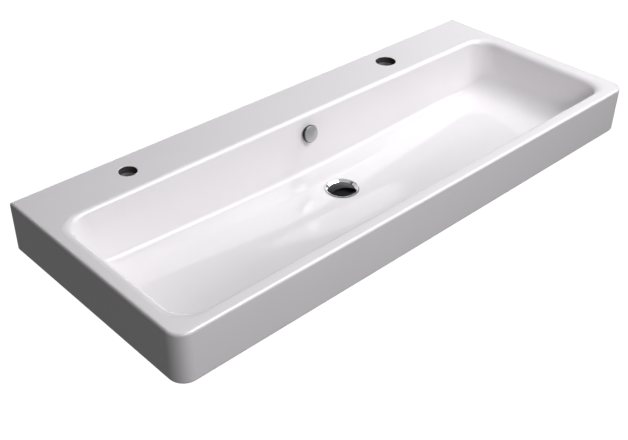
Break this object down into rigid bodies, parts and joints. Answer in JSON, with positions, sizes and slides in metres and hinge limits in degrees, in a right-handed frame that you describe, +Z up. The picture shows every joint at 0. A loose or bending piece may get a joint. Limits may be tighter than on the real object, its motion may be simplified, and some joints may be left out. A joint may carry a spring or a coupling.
{
  "type": "trough sink",
  "caption": "Wide wall-hung trough basin in glazed ceramic with a flat tap deck, narrow rim, round overflow cap and a press-to-open waste plug.",
  "frame": {"origin": "On the wall face, midway between the inner pair of wall-fixing holes, 60 mm below the top of the tap deck", "axes": "+X along the wall to the right as seen from the front, +Y towards the wall, +Z up"},
  "size_m": [1.2, 0.48, 0.209],
  "materials": {
    "glazed_ceramic": "gloss white glaze",
    "chrome": "polished",
    "brass": "turned",
    "steel": "turned stainless steel",
    "rubber": "matt",
    "white_resin": "moulded"
  },
  "bodies": {
    "fixed": {"basin": "glazed_ceramic", "overflow_gasket": "rubber", "overflow_body": "white_resin", "overflow_cap": "chrome", "seat_washer": "rubber", "waste_body": "chrome", "waste_gasket": "rubber", "slip_washer": "white_resin", "backnut": "brass", "cartridge_bridge": "brass", "cartridge_barrel": "chrome", "cartridge_locknut": "brass", "guide_bush": "brass", "return_spring": "steel"},
    "plug": {"plunger": "steel", "plug_hub": "white_resin", "plug_seal": "rubber", "plug_cap": "chrome"},
    "index": {"index_ring": "steel", "index_pins": "chrome"}
  },
  "joints": [
    {"name": "plug_press", "type": "slide", "parent": "fixed", "child": "plug", "axis": [0, 0, 1], "range_m": [0, 0.009], "deforming": ["return_spring"]},
    {"name": "index_turn", "type": "hinge", "parent": "fixed", "child": "index", "pos_m": [0, -0.222, -0.0983], "axis": [0, 0, 1], "range_deg": [-45, 0]}
  ],
  "couplings": [
    {"joint": "index_turn", "follows": "plug_press", "rad_per_m": -87.26}
  ]
}
